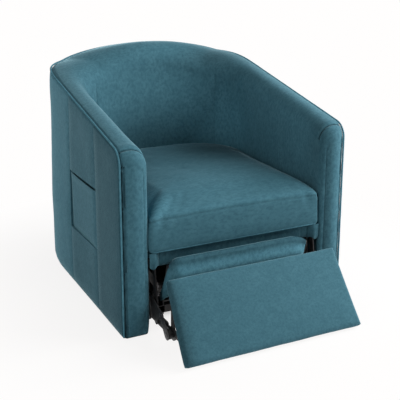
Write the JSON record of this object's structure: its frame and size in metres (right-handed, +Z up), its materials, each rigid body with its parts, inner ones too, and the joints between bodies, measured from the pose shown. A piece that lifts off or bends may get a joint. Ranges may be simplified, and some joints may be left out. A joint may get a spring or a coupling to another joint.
{
  "type": "power lift recliner",
  "caption": "Barrel-shaped upholstered recliner on a power lift base, with a fold-out padded footrest on steel links, a loose seat cushion and a side pocket.",
  "frame": {"origin": "on the floor, under the middle of the chair's box as drawn, with the footrest half open", "axes": "+Z up, +Y towards the back of the chair, +X towards the sitter's left arm seen from the front, which is at the right in a view from the front"},
  "size_m": [0.7826, 1.0587, 0.7853],
  "materials": {
    "fabric": "brushed microfibre",
    "webbing": "woven elastic webbing",
    "plywood": "plywood",
    "black_steel": "satin black paint",
    "zinc_steel": "zinc plated",
    "black_plastic": "fine texture",
    "button_plastic": "matte"
  },
  "bodies": {
    "base": {"base_side_rails": "black_steel", "base_cross_tubes": "black_steel", "floor_glides": "black_plastic", "lift_pivot_plates": "black_steel", "lift_pivot_pins": "zinc_steel", "control_box": "black_plastic", "power_inlet": "black_steel", "lift_motor_bracket": "black_steel"},
    "main_lift": {"main_lift_arms": "black_steel"},
    "guide_lift": {"guide_lift_arms": "black_steel"},
    "lift_motor_body": {"lift_motor": "black_plastic"},
    "lift_rod_body": {"lift_rod": "zinc_steel"},
    "drive_links": {"torque_tube": "black_steel", "drive_link_left": "black_steel", "drive_link_right": "black_steel"},
    "guide_left": {"guide_link_left": "black_steel"},
    "guide_right": {"guide_link_right": "black_steel"},
    "carrier_left": {"carrier_bar_left": "black_steel", "carrier_rivets_left": "zinc_steel"},
    "carrier_right": {"carrier_bar_right": "black_steel", "carrier_rivets_right": "zinc_steel"},
    "control_left": {"control_link_left": "black_steel"},
    "control_right": {"control_link_right": "black_steel"},
    "footrest_panel": {"footrest_pad": "fabric", "footrest_board": "plywood", "footrest_bracket_left": "black_steel", "footrest_bracket_right": "black_steel", "footrest_rivets": "zinc_steel", "footrest_spacers": "zinc_steel"},
    "flap": {"flap_pad": "fabric", "flap_brackets": "black_steel"},
    "up_button": {"handset_up_button": "button_plastic"},
    "down_button": {"handset_down_button": "button_plastic"},
    "carriage": {"seat_frame": "black_steel", "lift_lugs": "black_steel", "lift_lug_pins": "zinc_steel", "arm_spacer_blocks": "plywood", "tub_bolts": "zinc_steel", "linkage_plates": "black_steel", "linkage_plate_rivets": "zinc_steel", "seat_webbing": "webbing", "seat_rail_pad": "fabric", "seat_cushion": "fabric", "left_arm_upholstery": "fabric", "right_arm_upholstery": "fabric", "back_upholstery": "fabric", "left_arm_panel": "plywood", "right_arm_panel": "plywood", "back_panel": "plywood", "piping": "fabric", "pocket_panel": "fabric", "handset_case": "black_plastic", "footrest_motor": "black_plastic"}
  },
  "joints": [
    {"name": "lift", "type": "hinge", "parent": "base", "child": "main_lift", "pos_m": [0, -0.1325, 0.08], "axis": [1, 0, 0], "range_deg": [0, 35]},
    {"name": "seat_tilt", "type": "hinge", "parent": "main_lift", "child": "carriage", "pos_m": [0, 0.28553, 0.098], "axis": [1, 0, 0], "range_deg": [-11.69, 0]},
    {"name": "guide_turn", "type": "hinge", "parent": "base", "child": "guide_lift", "pos_m": [0, -0.1505, 0.101], "axis": [1, 0, 0], "range_deg": [0, 36.8]},
    {"name": "lift_motor_turn", "type": "hinge", "parent": "base", "child": "lift_motor_body", "pos_m": [0, 0.34153, 0.06], "axis": [1, 0, 0], "range_deg": [-1.5, 0]},
    {"name": "lift_rod_slide", "type": "slide", "parent": "lift_motor_body", "child": "lift_rod_body", "axis": [0, -0.99, 0.1408], "range_m": [0, 0.0324]},
    {"name": "footrest", "type": "hinge", "parent": "carriage", "child": "drive_links", "pos_m": [0, -0.2105, 0.228], "axis": [-1, 0, 0], "range_deg": [-60, 70]},
    {"name": "guide_link_left_turn", "type": "hinge", "parent": "carriage", "child": "guide_left", "pos_m": [0, -0.2545, 0.228], "axis": [-1, 0, 0], "range_deg": [-60.1, 70.1]},
    {"name": "carrier_left_turn", "type": "hinge", "parent": "drive_links", "child": "carrier_left", "pos_m": [0, -0.2305, 0.043], "axis": [-1, 0, 0], "range_deg": [-70.1, 60.1]},
    {"name": "control_link_left_turn", "type": "hinge", "parent": "drive_links", "child": "control_left", "pos_m": [0, -0.2066, 0.0446], "axis": [-1, 0, 0], "range_deg": [-77.94, 66.82]},
    {"name": "guide_link_right_turn", "type": "hinge", "parent": "carriage", "child": "guide_right", "pos_m": [0, -0.2545, 0.228], "axis": [-1, 0, 0], "range_deg": [-60.1, 70.1]},
    {"name": "carrier_right_turn", "type": "hinge", "parent": "drive_links", "child": "carrier_right", "pos_m": [0, -0.2305, 0.043], "axis": [-1, 0, 0], "range_deg": [-70.1, 60.1]},
    {"name": "control_link_right_turn", "type": "hinge", "parent": "drive_links", "child": "control_right", "pos_m": [0, -0.2066, 0.0446], "axis": [-1, 0, 0], "range_deg": [-77.94, 66.82]},
    {"name": "footrest_panel_turn", "type": "hinge", "parent": "carrier_left", "child": "footrest_panel", "pos_m": [0, -0.3735, 0.045], "axis": [-1, 0, 0], "range_deg": [-36.76, 42.87]},
    {"name": "flap_turn", "type": "hinge", "parent": "carrier_left", "child": "flap", "pos_m": [0, -0.2465, 0.116], "axis": [-1, 0, 0], "range_deg": [-81.1, 94.6]},
    {"name": "up_button_press", "type": "slide", "parent": "carriage", "child": "up_button", "axis": [1, 0, 0], "range_m": [0, 0.001], "stiffness_N_per_m": 600},
    {"name": "down_button_press", "type": "slide", "parent": "carriage", "child": "down_button", "axis": [1, 0, 0], "range_m": [0, 0.001], "stiffness_N_per_m": 600}
  ],
  "couplings": [
    {"joint": "seat_tilt", "follows": "lift", "ratio": -0.33104},
    {"joint": "guide_turn", "follows": "lift", "ratio": 1.0486},
    {"joint": "lift_motor_turn", "follows": "lift", "ratio": -0.039978},
    {"joint": "lift_rod_slide", "follows": "lift", "m_per_rad": 0.052707},
    {"joint": "guide_link_left_turn", "follows": "footrest", "ratio": 1},
    {"joint": "carrier_left_turn", "follows": "footrest", "ratio": -1},
    {"joint": "control_link_left_turn", "follows": "footrest", "ratio": -1.112},
    {"joint": "guide_link_right_turn", "follows": "footrest", "ratio": 1},
    {"joint": "carrier_right_turn", "follows": "footrest", "ratio": -1},
    {"joint": "control_link_right_turn", "follows": "footrest", "ratio": -1.112},
    {"joint": "footrest_panel_turn", "follows": "footrest", "ratio": 0.611},
    {"joint": "flap_turn", "follows": "footrest", "ratio": 1.35}
  ]
}
